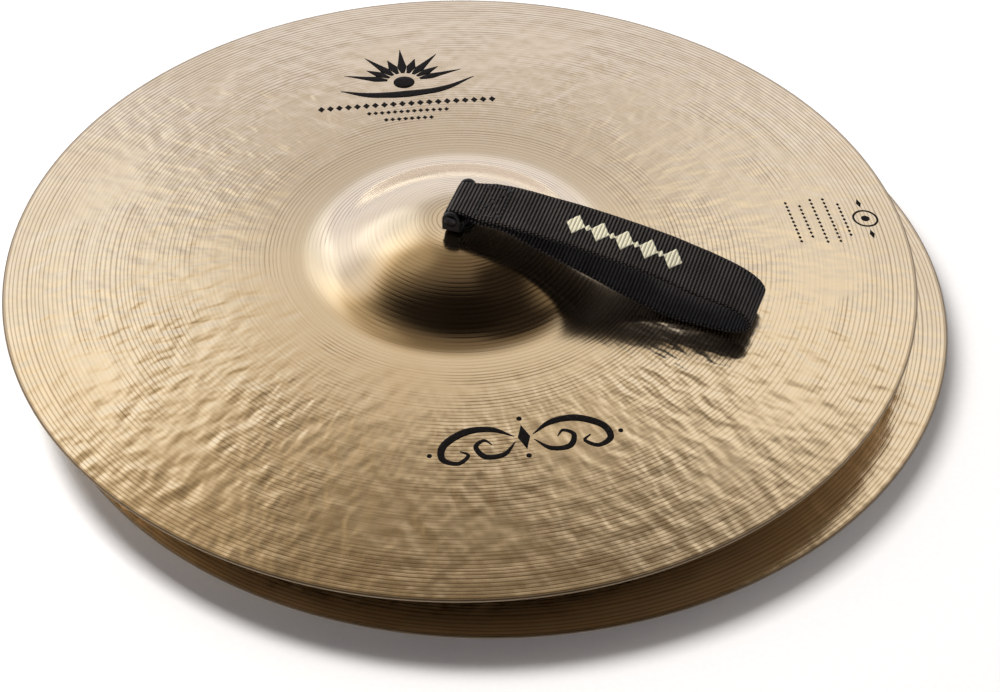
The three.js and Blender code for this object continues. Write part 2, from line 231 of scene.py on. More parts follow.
def vector_calc(operation, *values, output=0):
    """A result of one Vector Math node."""
    return node("ShaderNodeVectorMath", enumerate(values), operation=operation)[output]


def split(vector):
    """A vector's X, Y and Z."""
    return node("ShaderNodeSeparateXYZ", {0: vector})


def noise(where, scale, detail=3.0, roughness=0.5):
    """Noise in space, or along one number only, such as a radius."""
    on_line = where.type == "VALUE"
    return node("ShaderNodeTexNoise", {"W" if on_line else "Vector": where, "Scale": scale,
                                       "Detail": detail, "Roughness": roughness},
                noise_dimensions="1D" if on_line else "3D")[0]


def fit(value, low, high):
    """A 0 to 1 value stretched to run from low to high."""
    return node("ShaderNodeMapRange", {"Value": value, "To Min": low, "To Max": high})[0]


def between(value, start, end, low=0.0, high=1.0):
    """Low up to start, high from end on, and smooth between them."""
    return node("ShaderNodeMapRange", {"Value": value, "From Min": start, "From Max": end,
                                       "To Min": low, "To Max": high},
                interpolation_type="SMOOTHSTEP")[0]


def ramp(value, stops):
    """A colour ramp from (place, colour) stops."""
    result = node("ShaderNodeValToRGB", {"Fac": value})[0]
    elements = result.node.color_ramp.elements
    while len(elements) < len(stops):
        elements.new(0.5)
    for element, (place, colour) in zip(elements, stops):
        element.position = place
        element.color = (*colour, 1)
    return result


def mix_colour(share, first, second, blend="MIX"):
    """A colour mixed or blended with a steady one, by the Mix node's two colour inputs."""
    return node("ShaderNodeMix", {0: share, 6: first, 7: (*second, 1)},
                data_type="RGBA", blend_type=blend)[2]


def dress(material, colour, roughness, height=None, tangent=None, **steady):
    """Link a material's colour, roughness, relief height in metres and tangent, and set the
    sockets that are the same all over."""
    shader = material.node_tree.nodes["Principled BSDF"]
    link = material.node_tree.links.new
    link(colour, shader.inputs["Base Color"])
    link(roughness, shader.inputs["Roughness"])
    if height is not None:
        relief = {"Height": height, "Strength": 1.0, "Distance": 1.0}
        link(node("ShaderNodeBump", relief)[0], shader.inputs["Normal"])
    if tangent is not None:
        link(tangent, shader.inputs["Tangent"])
    for name, value in steady.items():
        shader.inputs[name.replace("_", " ")].default_value = value
    return material


# ---- materials ----

def zone(radius, start, end, low=0.0, high=1.0):
    """Low inside one radius in millimetres, high outside the other."""
    return between(radius, start * MM, end * MM, low, high)


def turning(radius, patches):
    """Lathe grooves: how deeply they are cut at a radius, the fine lines between them, and the
    height of both."""
    foot = BOW_START_RADIUS * MM
    on_bell = calc("DIVIDE", calc("MINIMUM", radius, foot), BELL_GROOVE_PITCH * MM)
    past_foot = calc("MAXIMUM", calc("SUBTRACT", radius, foot), 0.0)
    on_bow = calc("DIVIDE", past_foot, BOW_GROOVE_PITCH * MM)
    wander = noise(radius, 90, detail=1)
    turns = calc("MULTIPLY_ADD", wander, 1.1, calc("ADD", on_bell, on_bow))
    across = calc("MULTIPLY_ADD", calc("FRACT", turns), 2.0, -1.0)
    groove = between(calc("ABSOLUTE", across), 0.42, 1.0)

    # Grooves differ in depth, fade in patches except by the rim, and are shallow round the foot
    depth = fit(noise(radius, 160, detail=2), 0.25, 1.6)
    faint = calc("MAXIMUM", between(patches, 0.42, 0.56, 0.15, 1.0),
                 zone(radius, RIM_TURNING_FROM, RIM_TURNING_FULLY, 0.0, 1.1))
    off_ring = calc("ABSOLUTE", calc("SUBTRACT", radius, SMOOTH_RING_RADIUS * MM))
    turned = zone(off_ring, SMOOTH_RING_START, SMOOTH_RING_END, 0.3, 1.0)
    cut = times(groove, depth, faint, turned)

    fine = noise(radius, 900, roughness=0.7)
    finest = noise(radius, 4200, detail=2, roughness=0.6)
    height = calc("MULTIPLY_ADD", fine, FINE_LINE_HEIGHT, times(cut, -GROOVE_DEPTH))
    height = calc("MULTIPLY_ADD", finest, FINEST_LINE_HEIGHT, height)
    return cut, fine, height


def dappling(flat, radius, patches):
    """Height of small hammered dapples on the bow, longer along the radius than across it."""
    wound = vector_calc("MULTIPLY", vector_calc("NORMALIZE", flat), (DAPPLES_AROUND,) * 3)
    outwards = node("ShaderNodeCombineXYZ", {"Z": times(radius, DAPPLES_ALONG)})[0]
    polar = vector_calc("ADD", wound, outwards)
    dapples = noise(polar, 1.0, detail=1.2, roughness=0.45)
    return times(dapples, zone(radius, HAMMERED_FROM, HAMMERED_FULLY),
                 between(patches, 0.38, 0.60, 0.55, 1.0), DAPPLE_HEIGHT)


def bronze():
    """Lathe-turned and hammered cymbal bronze: cut grooves with wide lands, fine turning lines, a
    soft patina, a smoother bell, painted shade in the cuts and low turning lines, a dull edge
    darkened with painted shade, and a dull outer ring underneath painted paler as painted light."""
    material = new_material("bronze")
    local = attribute(material, "local")
    flat = vector_calc("MULTIPLY", local, (1, 1, 0))
    radius = vector_calc("LENGTH", flat, output="Value")
    patches = noise(local, 15, detail=4, roughness=0.6)
    cut, fine, height = turning(radius, patches)
    height = calc("ADD", height, dappling(flat, radius, patches))

    on_edge = zone(radius, EDGE_FROM, EDGE_FULLY)
    facing = split(source(material, "ShaderNodeTexCoord", "Normal"))["Z"]
    dull_and_painted_light = times(between(facing, -0.6, 0.0, 1.0, 0.0),
                   zone(radius, DULL_AND_PAINTED_LIGHT_FROM, DULL_AND_PAINTED_LIGHT_FULLY))

    colour = ramp(patches, [(0.3, (0.83, 0.67, 0.455)), (0.7, (0.91, 0.765, 0.555))])
    # Painted shade: the grooves' cuts and the low fine turning lines are darkened in colour where
    # the relief dips
    for share, tone in ((between(fine, 0.30, 0.60, 0.20, 0.0), (0.58, 0.43, 0.27)),
                        (times(cut, 0.62), (0.33, 0.215, 0.12)),
                        # Painted shade: the rim's edge is darkened in colour, on top of its real
                        # dullness in roughness
                        (times(on_edge, 0.85), (0.16, 0.105, 0.055)),
                        # Painted light: the outer ring underneath is painted paler, so the lower
                        # cymbal mirrors it in the gap
                        (times(dull_and_painted_light, 0.6), (0.90, 0.79, 0.61))):
        colour = mix_colour(share, colour, tone)

    polish = zone(radius, BELL_FINISH_END, BOW_FINISH_START, 0.80, 1.0)
    rough = times(fit(fine, 0.14, 0.22), polish)
    rough = calc("MULTIPLY_ADD", on_edge, 0.25, rough)
    rough = calc("MULTIPLY_ADD", dull_and_painted_light, 0.34, rough)
    round_axis = source(material, "ShaderNodeTangent", 0, direction_type="RADIAL", axis="Z")
    return dress(material, colour, rough, height, tangent=round_axis, Metallic=1.0,
                 Anisotropic=0.3, Anisotropic_Rotation=0.25)


def webbing():
    """Black nylon webbing: each woven rib is a row of small beads of yarn, and the valleys
    between the ribs are black; the pale colour on the beads' crowns is a painted highlight."""
    bead_length = 0.8
    material = new_material("webbing")
    rib, across, crown = split(attribute(material, "web"))
    odd = calc("MODULO", calc("FLOOR", rib), 2.0)
    turn = calc("MULTIPLY_ADD", across, math.pi / bead_length, times(odd, math.pi / 2))
    bead = calc("ABSOLUTE", calc("SINE", turn))
    where = object_coordinates(material)
    fibres = noise(where, 2600, roughness=0.7)
    worn = noise(where, 60, roughness=0.6)
    # Painted highlight: pale colour on the crowns of the yarn beads, broken up by fibres and worn
    # patches
    painted_bead_highlight = times(calc("POWER", crown, 4.0), calc("POWER", bead, 1.5),
                 fit(fibres, 0.5, 1.3), fit(worn, 0.35, 1.25))
    colour = ramp(painted_bead_highlight, [(0.12, (0.0012, 0.0011, 0.0010)), (0.95, (0.18, 0.155, 0.138))])
    height = calc("MULTIPLY_ADD", bead, 0.00016, times(fibres, 0.00010))
    return dress(material, colour, fit(painted_bead_highlight, 0.60, 0.38), height, Specular_IOR_Level=0.10)


def thread():
    """Black sewing thread, a little shinier than the webbing."""
    material = new_material("thread")
    strands = noise(object_coordinates(material), 2600, detail=2)
    colour = ramp(strands, [(0.3, (0.012, 0.011, 0.012)), (0.7, (0.05, 0.048, 0.05))])
    return dress(material, colour, fit(strands, 0.35, 0.55), times(strands, 0.0001))


def moulded(name, dark, light, rough_low, rough_high):
    """Moulded nylon with a fine grain and a few scuffs."""
    material = new_material(name)
    where = object_coordinates(material)
    grain = noise(where, 2400)
    scuffs = noise(where, 260, detail=5, roughness=0.7)
    colour = ramp(scuffs, [(0.35, dark), (0.75, light)])
    return dress(material, colour, fit(scuffs, rough_low, rough_high), times(grain, 0.00003),
                 Specular_IOR_Level=0.3)


def turned_steel(name, dark, light, roughness):
    """Turned or plated steel: fine lines round the axis and patchy plating."""
    material = new_material(name)
    lines = noise(split(attribute(material, "local"))["Z"], 5200, detail=2)
    plating = noise(object_coordinates(material), 420, detail=4, roughness=0.65)
    return dress(material, ramp(plating, [(0.3, dark), (0.7, light)]),
                 fit(plating, roughness, roughness + 0.18),
                 times(calc("ADD", lines, plating), 0.00001), Metallic=1.0)


def felt():
    """Grey wool felt: matted fibres, the raised ones painted paler as painted light."""
    material = new_material("felt")
    where = object_coordinates(material)
    mat = noise(where, 900, detail=6, roughness=0.75)
    hairs = node("ShaderNodeTexVoronoi", {"Vector": where, "Scale": 2600.0})[0]
    fibre = times(mat, calc("ADD", hairs, 0.6))
    # Painted light: colour rises with the fibres' height, so the raised fibres are paler
    colour = ramp(fibre, [(0.2, (0.05, 0.048, 0.046)), (0.7, (0.24, 0.23, 0.215))])
    return dress(material, colour, fit(mat, 0.85, 1.0), times(fibre, 0.0005), Sheen_Weight=0.3)


def printed(name, thin, full, scale):
    """Printed ink that is a little worn, so that its colour breaks up at a fine scale."""
    material = new_material(name)
    wear = noise(object_coordinates(material), scale, detail=4, roughness=0.7)
    return dress(material, ramp(wear, [(0.28, thin), (0.42, full)]), fit(wear, 0.75, 0.60),
                 times(wear, 0.00002), Specular_IOR_Level=0.08)


def floor_paper():
    """Pale seamless paper."""
    material = new_material("floor_paper")
    fibres = noise(object_coordinates(material), 400, detail=4)
    colour = ramp(fibres, [(0.3, (0.90, 0.90, 0.90)), (0.7, (0.92, 0.92, 0.92))])
    return dress(material, colour, fit(fibres, 0.8, 0.95), Specular_IOR_Level=0.1)


# Colours are given dark before pale, and worn ink before whole ink
BRONZE = bronze()
WEBBING = webbing()
THREAD = thread()
BLACK_NYLON = moulded("black_nylon", (0.004, 0.0037, 0.0037), (0.013, 0.012, 0.011), 0.34, 0.52)
WHITE_NYLON = moulded("white_nylon", (0.62, 0.58, 0.50), (0.78, 0.75, 0.68), 0.38, 0.55)
STEEL = turned_steel("steel", (0.50, 0.50, 0.51), (0.66, 0.66, 0.67), 0.20)
BLACK_STEEL = turned_steel("black_steel", (0.022, 0.022, 0.024), (0.05, 0.05, 0.052), 0.28)
FELT = felt()
INK = printed("ink", (0.035, 0.028, 0.022), (0.006, 0.005, 0.0045), 900)
CREAM_INK = printed("cream_ink", (0.20, 0.18, 0.13), (0.70, 0.66, 0.49), 1500)
FLOOR_PAPER = floor_paper()


# ---- mesh helpers ----

def mesh_object(name, vertices, faces, material, placed, attributes=()):
    """An object from points in millimetres in a local frame, placed in the row frame."""
    matrix = np.array(placed)
    world = np.asarray(vertices, float) * MM @ matrix[:3, :3].T + matrix[:3, 3]
    mesh = bpy.data.meshes.new(name)
    mesh.from_pydata(world.tolist(), [], faces)
    for key, values in dict(attributes).items():
        layer = mesh.attributes.new(key, "FLOAT_VECTOR", "POINT")
        layer.data.foreach_set("vector", np.asarray(values, np.float32).ravel())
    mesh.polygons.foreach_set("use_smooth", [True] * len(mesh.polygons))
    mesh.materials.append(material)
    return show(bpy.data.objects.new(name, mesh))


def grid_faces(rows, columns, closed):
    """Quads over a grid of points whose columns go round, and its rows too if it is closed."""
    i, j = (a.ravel() for a in np.meshgrid(np.arange(rows if closed else rows - 1),
                                           np.arange(columns), indexing="ij"))
    i2, j2 = (i + 1) % rows, (j + 1) % columns
    corners = (i * columns + j, i * columns + j2, i2 * columns + j2, i2 * columns + j)
    return np.stack(corners, axis=1).tolist()


def unit(vectors):
    """Rows of vectors brought to length 1."""
    return vectors / np.linalg.norm(vectors, axis=1)[:, None]


def circle_angles(count):
    return np.arange(count) * 2 * math.pi / count


def arc(x, y, radius, start, end, steps):
    """Points of an arc, angles in degrees."""
    return [(x + radius * math.cos(math.radians(a)), y + radius * math.sin(math.radians(a)))
            for a in np.linspace(start, end, steps)]


def turned_piece(name, rows, segments, material, placed, along_y=0.0, pole=False):
    """A closed ring turned about Z from rows of (radius, height), up its outside and down its
    inside. Either may be an array round the circle. With pole, the first and last rows lie on
    the axis. along_y, when not 0, is the height of an axis that lies along Y instead."""
    angles = circle_angles(segments)
    radii, heights = (np.array([np.broadcast_to(row[k], segments) for row in rows], float)
                      for k in (0, 1))
    local = np.stack([radii * np.cos(angles), radii * np.sin(angles), heights], axis=-1)
    local = local.reshape(-1, 3)
    faces = grid_faces(len(rows), segments, closed=True)
    if pole:
        inner = local[segments:-segments]
        count = len(rows) - 2
        first, last, top = len(inner), len(inner) + 1, (count - 1) * segments
        faces = grid_faces(count, segments, closed=False)
        around = [(j, (j + 1) % segments) for j in range(segments)]
        faces += [(first, b, a) for a, b in around]
        faces += [(last, top + a, top + b) for a, b in around]
        local = np.vstack([inner, local[:1], local[-1:]])
    points = local
    if along_y:
        points = np.stack([local[:, 1], local[:, 2], local[:, 0] + along_y], axis=1)
    return mesh_object(name, points, faces, material, placed, {"local": local * MM})


def rounded(corners, radius, steps=3):
    """(radius, height) corners with each one rounded off by a short arc."""
    points = []
    for i, corner in enumerate(corners):
        here = np.array(corner, float)
        before = np.array(corners[i - 1], float) - here
        after = np.array(corners[(i + 1) % len(corners)], float) - here
        reach = min(radius, np.linalg.norm(before) / 2.2, np.linalg.norm(after) / 2.2)
        start = here + before / np.linalg.norm(before) * reach
        end = here + after / np.linalg.norm(after) * reach
        for t in np.linspace(0, 1, steps + 1):
            points.append(tuple((1 - t) ** 2 * start + 2 * t * (1 - t) * here + t ** 2 * end))
    return points


def plate(name, outlines, thickness, bevel, material, to_local, placed):
    """A flat plate with bevelled edges from closed 2-D outlines, the first outer and the rest
    holes. to_local turns the plate's own (x, y, z) into the local frame's."""
    curve = bpy.data.curves.new(name, "CURVE")
    curve.dimensions = "2D"
    curve.fill_mode = "BOTH"
    for outline in outlines:
        spline = curve.splines.new("POLY")
        spline.points.add(len(outline) - 1)
        for point, (x, y) in zip(spline.points, outline):
            point.co = (x, y, 0, 1)
        spline.use_cyclic_u = True
    curve.extrude = thickness / 2 - bevel
    curve.bevel_depth = bevel
    curve.bevel_resolution = 2
    curve.offset = -bevel
    shaper = show(bpy.data.objects.new(name + "_outline", curve))
    bpy.context.view_layer.update()
    shaped = shaper.evaluated_get(bpy.context.evaluated_depsgraph_get())
    mesh = bpy.data.meshes.new_from_object(shaped)
    local = np.array([to_local(v.co) for v in mesh.vertices], float)
    faces = [tuple(p.vertices) for p in mesh.polygons]
    bpy.data.objects.remove(shaper)
    bpy.data.curves.remove(curve)
    bpy.data.meshes.remove(mesh)
    return mesh_object(name, local, faces, material, placed, {"local": local * MM})


def join(name, parts):
    """Several objects with one material, as one."""
    for part in bpy.context.selected_objects:
        part.select_set(False)
    for part in parts:
        part.select_set(True)
    bpy.context.view_layer.objects.active = parts[0]
    bpy.ops.object.join()
    parts[0].name = name
    return parts[0]


def sharp_by_angle(made, degrees):
    """Smooth shading that stays sharp at steep edges."""
    made.data.set_sharp_from_angle(angle=math.radians(degrees))
    return made


def finish_piece(made, prefix, carrier, slot, *stands_for):
    """Give a piece its body and hide the CAD nodes that it stands for; slot is not used."""
    body = f"{prefix}_{carrier}_body"
    nodes = [f"{prefix}_{name}" for name in stands_for]
    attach(made, body)
    if nodes:
        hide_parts(*nodes)
    return made


# ---- the cymbal's surface ----

def smoothstep(share):
    share = np.clip(share, 0, 1)
    return share * share * (3 - 2 * share)


def bell_height(radius):
    """Height of the bell over the bow: its side steepens evenly from the flat crown to the
    steepest ring, and eases out from there to the foot."""
    dome = BELL_STEEP_RADIUS - BELL_TOP_RADIUS
    flare = BELL_FOOT_RADIUS - BELL_STEEP_RADIUS
    steepest = BELL_RISE / ((dome + flare) / 2)
    over_dome = np.clip((radius - BELL_TOP_RADIUS) / dome, 0, 1)
    over_flare = np.clip((radius - BELL_STEEP_RADIUS) / flare, 0, 1)
    left_of_dome = dome / 2 * (1 - over_dome ** 2)
    left_of_flare = flare * ((1 - over_flare) / 2 - np.sin(math.pi * over_flare) / (2 * math.pi))
    return steepest * (left_of_dome + left_of_flare)


def upper_face(radius):
    """Height of the cymbal's upper face over its rim plane."""
    bow_share = np.clip((radius - BOW_START_RADIUS) / (RIM_RADIUS - BOW_START_RADIUS), 0, None)
    return EDGE_THICKNESS + BOW_RISE * (1 - bow_share ** BOW_POWER) + bell_height(radius)


def lower_face(radius):
    """Height of its lower face, a metal thickness away square to the surface."""
    step = 0.01
    slope = (upper_face(radius - step) - upper_face(radius + step)) / (2 * step)
    share = radius / RIM_RADIUS
    thickness = BELL_THICKNESS + (EDGE_THICKNESS - BELL_THICKNESS) * share
    return upper_face(radius) - thickness * np.hypot(1, slope)


def hammering(radii, angles, seed):
    """Shallow hammer marks over the bow, short dapples among longer radial strokes, as a height
    at each radius and angle."""
    draw = np.random.default_rng(seed)
    relief = np.zeros((len(radii), len(angles)))
    for _ in range(HAMMER_MARKS):
        radius = math.sqrt(draw.uniform(MARKED_FROM ** 2, MARKED_TO ** 2))
        angle = draw.uniform(0, 2 * math.pi)
        stroke = draw.uniform() < STROKE_SHARE
        half_length = draw.uniform(*(STROKE_HALF_LENGTH if stroke else DAPPLE_HALF_LENGTH))
        half_width = draw.uniform(*(STROKE_HALF_WIDTH if stroke else DAPPLE_HALF_WIDTH))
        depth = draw.uniform(*MARK_DEPTH) * half_width / DEPTH_AT_HALF_WIDTH
        slant = draw.normal(0, MARK_SLANT)
        rows = np.abs(radii - radius) < 1.6 * half_length
        away = radii[rows][:, None] - radius
        turn = (angles - angle + math.pi) % (2 * math.pi) - math.pi
        aside = turn * radii[rows][:, None] - slant * away
        near = np.exp(-(away / half_length) ** 4 - (aside / half_width) ** 2)
        relief[rows] -= depth * near * (1 - 0.9 * (aside / half_width) ** 2)
    fade = smoothstep((radii - BELL_FOOT_RADIUS) / 14) * smoothstep((RIM_RADIUS + 0.3 - radii) / 5)
    return relief * fade[:, None]


TOP_RADII = np.concatenate([
    np.linspace(HOLE_RADIUS + 0.3, 21, 10),
    np.linspace(22.4, 76, 48),
    np.linspace(77.3, RIM_RADIUS - 0.5, 97),
])
UNDER_RADII = np.linspace(RIM_RADIUS - 1.2, HOLE_RADIUS + 0.2, 30)
UNDER_SEED = 7
CYMBAL_ANGLES = 512


class Surface:
    """The upper face of one cymbal with its hammer marks, to build it and to print on it."""

    def __init__(self, seed):
        self.angles = circle_angles(CYMBAL_ANGLES)
        self.relief = hammering(TOP_RADII, self.angles, seed)

    def height(self, x, y):
        """Height of the upper face at points in the cymbal's frame."""
        radius, turn = np.hypot(x, y), np.arctan2(y, x) % (2 * math.pi)
        column = turn / (2 * math.pi) * CYMBAL_ANGLES
        low = column.astype(int) % CYMBAL_ANGLES
        share = column - np.floor(column)
        row = np.interp(radius, TOP_RADII, np.arange(len(TOP_RADII)))
        base = np.minimum(row.astype(int), len(TOP_RADII) - 2)
        rest = row - base
        high = (low + 1) % CYMBAL_ANGLES
        near = self.relief[base, low] * (1 - share) + self.relief[base, high] * share
        far = self.relief[base + 1, low] * (1 - share) + self.relief[base + 1, high] * share
        return upper_face(radius) + near * (1 - rest) + far * rest


def cymbal(prefix, surface, placed):
    """The bronze disc: both hammered faces, a half-round rim and the wall of the hole."""
    half = EDGE_THICKNESS / 2
    bell_top = float(upper_face(np.array(HOLE_RADIUS)))
    under = lower_face(UNDER_RADII)[:, None] + hammering(UNDER_RADII, surface.angles, UNDER_SEED)
    rows = list(zip(TOP_RADII, upper_face(TOP_RADII)[:, None] + surface.relief))
    rows += arc(RIM_RADIUS - half, half, half, 70, -90, 5)
    rows += list(zip(UNDER_RADII, under))
    rows += [(HOLE_RADIUS, bell_top - BELL_THICKNESS + 0.3), (HOLE_RADIUS, bell_top - 0.3)]
    made = turned_piece(prefix + "_bronze_cymbal", rows[::-1], CYMBAL_ANGLES, BRONZE, placed)
    finish_piece(made, prefix, "cymbal", "bronze", "cymbal")


# ---- the swivel through the bell ----

BELL_TOP = EDGE_THICKNESS + BOW_RISE + BELL_RISE
BELL_UNDER = BELL_TOP - BELL_THICKNESS
NUT_TOP = BELL_UNDER - 4.5
PIN_AXIS = BELL_TOP + 9
YOKE_BOTTOM = BELL_TOP + 1.3
YOKE_FLOOR = YOKE_BOTTOM + 2.7
EAR_INSIDE = NECK_WIDTH / 2 + 0.4
EAR_OUTSIDE = EAR_INSIDE + 1.8
ARM_HALF = 4.0
BOSS_RADIUS = 6.2


def hexagon_radius(half_flats, segments):
    """Distance to a hexagon's side, round the circle."""
    turn = (circle_angles(segments) + math.pi / 6) % (math.pi / 3) - math.pi / 6
    return half_flats / np.cos(turn)


def bored_ring(prefix, name, side, rounding, material, slot, placed, segments=96, steps=3):
    """A ring on the bolt from its outer side, (radius, height) from the bottom up. name gives
    its own name and its CAD node's."""
    corners = [(BORE_RADIUS, side[0][1]), *side, (BORE_RADIUS, side[-1][1])]
    outline = rounded(corners, rounding, steps)
    made = turned_piece(prefix + name[0], outline, segments, material, placed)
    finish_piece(made, prefix, "cymbal", slot, name[1])


def hole_bush(prefix, placed):
    flange, top = BELL_TOP + 0.3, BELL_TOP + 1
    side = [(BUSH_RADIUS, BELL_UNDER), (BUSH_RADIUS, flange), (BUSH_FLANGE_RADIUS, flange),
            (BUSH_FLANGE_RADIUS, top)]
    bored_ring(prefix, ("_nylon_bush", "hole_bush"), side, 0.22, BLACK_NYLON, "black_nylon",
               placed, segments=72)


def felt_washer(prefix, placed):
    bottom = BELL_UNDER - 2.7
    side = [(FELT_RADIUS, bottom), (FELT_RADIUS, bottom + FELT_HEIGHT)]
    bored_ring(prefix, ("_felt", "felt_washer"), side, 0.55, FELT, "felt", placed, steps=5)


def steel_washer(prefix, placed):
    bottom = BELL_UNDER - 4.2
    side = [(WASHER_RADIUS, bottom), (WASHER_RADIUS, bottom + WASHER_HEIGHT)]
    bored_ring(prefix, ("_plain_washer", "steel_washer"), side, 0.2, STEEL, "steel", placed)


def nut_insert(prefix, placed):
    bottom = NUT_TOP - NUT_HEIGHT
    side = [(3.5, bottom + 0.15), (3.5, bottom + 1.25)]
    bored_ring(prefix, ("_nylon_insert", "nut_insert"), side, 0.2, WHITE_NYLON, "white_nylon",
               placed, segments=64)


def lock_nut(prefix, placed):
    """Hexagon with chamfered corners, and a rounded collar that grips the insert."""
    segments = 96
    top, shoulder, bottom = NUT_TOP, NUT_TOP - 3.2, NUT_TOP - NUT_HEIGHT
    hexagon = hexagon_radius(NUT_HALF_FLATS, segments)
    rows = [(3.8, bottom + 1.3), (3.8, bottom + 0.1), (4.0, bottom), (4.2, bottom + 0.1),
            (4.35, bottom + 0.4), (4.35, shoulder - 0.1)]
    for share in np.linspace(0, 1, 6):
        rows.append((np.minimum(hexagon, 4.4 + 1.2 * share), shoulder + 0.55 * share))
    for share in np.linspace(1, 0, 6):
        rows.append((np.minimum(hexagon, 4.5 + 1.2 * share), top - 0.6 * share))
    rows += [(3.1, top), (BORE_RADIUS, top - 0.3), (BORE_RADIUS, bottom + 1.4)]
    made = turned_piece(prefix + "_locking_nut", rows, segments, STEEL, placed)
    sharp_by_angle(made, 28)
    finish_piece(made, prefix, "cymbal", "steel", "lock_nut")


def swivel_bolt(prefix, placed):
    """Countersunk bolt with a hexagon socket and a cut thread."""
    segments, pitch, thread_depth = 72, 0.8, 0.26
    angles = circle_angles(segments)
    end, head_top = BELL_UNDER - 9.9, YOKE_FLOOR - 0.1
    cone = head_top - 2.2
    rows = [(0, end), (BOLT_RADIUS - 0.7, end)]
    for height in np.arange(end + 0.3, cone - 1.5, pitch / 9):
        tooth = np.abs(((height - end) / pitch - angles / (2 * math.pi)) % 1 * 2 - 1)
        fade = min(1, (height - end) / 0.8)
        rows.append((BOLT_RADIUS - 0.4 * (1 - fade) - thread_depth * np.clip(tooth * 1.3, 0, 1),
                     height))
    head = BOLT_HEAD_RADIUS
    rows += [(BOLT_RADIUS - 0.05, cone - 1.2), (BOLT_RADIUS, cone), (head - 0.08, head_top - 0.35),
             (head, head_top - 0.22), (head - 0.08, head_top - 0.05), (head - 0.25, head_top)]
    socket = hexagon_radius(1.5, segments)
    rows += [(socket + 0.15, head_top), (socket, head_top - 0.15), (socket, head_top - 1.6),
             (0, head_top - 2.0)]
    made = turned_piece(prefix + "_bolt", rows, segments, STEEL, placed, pole=True)
    sharp_by_angle(made, 40)
    finish_piece(made, prefix, "cymbal", "steel", "swivel_bolt")


# ---- the yoke ----

def yoke_outline(reach, segments, inset=0.0):
    """Distance to the yoke's outline round the circle: a round boss with an arm to each side,
    all corners rounded."""
    angles = circle_angles(segments)
    half, corner, fillet = ARM_HALF - inset, 12, 14
    arm = ((np.abs(np.cos(angles)) / half) ** corner
           + (np.abs(np.sin(angles)) / (reach - inset)) ** corner) ** (-1 / corner)
    return (arm ** fillet + (BOSS_RADIUS - inset) ** fillet) ** (1 / fillet)


def yoke(prefix, placed):
    """Moulded bar with a round boss over the bell and a rounded ear at each end, bored for the
    pin and countersunk for the bolt."""
    segments = 180
    bottom, top = YOKE_BOTTOM, YOKE_FLOOR
    narrow = EAR_OUTSIDE - 2.6
    rows = [(BORE_RADIUS, bottom), (yoke_outline(narrow, segments, 0.3), bottom),
            (yoke_outline(narrow + 0.2, segments, 0.08), bottom + 0.09),
            (yoke_outline(narrow + 0.3, segments), bottom + 0.3),
            (yoke_outline(EAR_OUTSIDE, segments), bottom + 2.5),
            (yoke_outline(EAR_OUTSIDE, segments, 0.02), top - 0.12),
            (yoke_outline(EAR_OUTSIDE, segments, 0.2), top),
            (5.0, top), (4.85, top - 0.12), (4.75, top - 0.4), (BORE_RADIUS, top - 2.35)]
    parts = [turned_piece(prefix + "_bar", rows, segments, BLACK_NYLON, placed)]
    foot = top - 0.5
    ear = ([(-ARM_HALF, foot), (ARM_HALF, foot)] + arc(0, PIN_AXIS, ARM_HALF, 0, 180, 25))
    pin_hole = arc(0, PIN_AXIS, PIN_RADIUS + 0.3, 0, 345, 24)
    for side in (-1, 1):
        middle = side * (EAR_INSIDE + EAR_OUTSIDE) / 2
        parts.append(plate(f"{prefix}_ear_{side}", [ear, pin_hole], EAR_OUTSIDE - EAR_INSIDE, 0.4,
                           BLACK_NYLON, lambda co, m=middle: (co.x, m - co.z, co.y), placed))
    made = sharp_by_angle(join(prefix + "_moulded_yoke", parts), 40)
    finish_piece(made, prefix, "swivel", "black_nylon", "yoke")


def cross_pin(prefix, placed):
    """Headed pin through both ears, grooved for its clip."""
    face, groove = -(EAR_OUTSIDE + 0.3), EAR_OUTSIDE + 0.3
    rows = [(0, face - 0.8), (1.5, face - 0.78), (2.25, face - 0.64), (2.62, face - 0.40),
            (2.7, face - 0.15), (2.62, face), (PIN_RADIUS, face), (PIN_RADIUS, groove - 0.05),
            (1.4, groove), (1.4, groove + 1.2), (PIN_RADIUS, groove + 1.25),
            (PIN_RADIUS, groove + 1.9), (1.7, groove + 2.2), (0, groove + 2.2)]
    made = turned_piece(prefix + "_pin", rows, 64, BLACK_STEEL, placed, along_y=PIN_AXIS, pole=True)
    sharp_by_angle(made, 40)
    finish_piece(made, prefix, "swivel", "black_steel", "cross_pin")


def pin_clip(prefix, placed):
    """Spring clip in the pin's groove, open to one side, with three inward lugs."""
    outline = arc(0, 0, 3.1, 35, 325, 40)
    for start in (325, 235, 145):
        outline += arc(0, 0, 1.6, start, start - 22, 4)
        outline += arc(0, 0, 2.2, start - 30, start - 60, 4)
    outline += arc(0, 0, 1.6, 57, 35, 4)
    middle = EAR_OUTSIDE + 0.9
    made = plate(prefix + "_spring_clip", [outline], 0.6, 0.12, BLACK_STEEL,
                 lambda co: (co.x, middle - co.z, co.y + PIN_AXIS), placed)
    finish_piece(made, prefix, "swivel", "black_steel", "pin_clip")


# ---- webbing ----

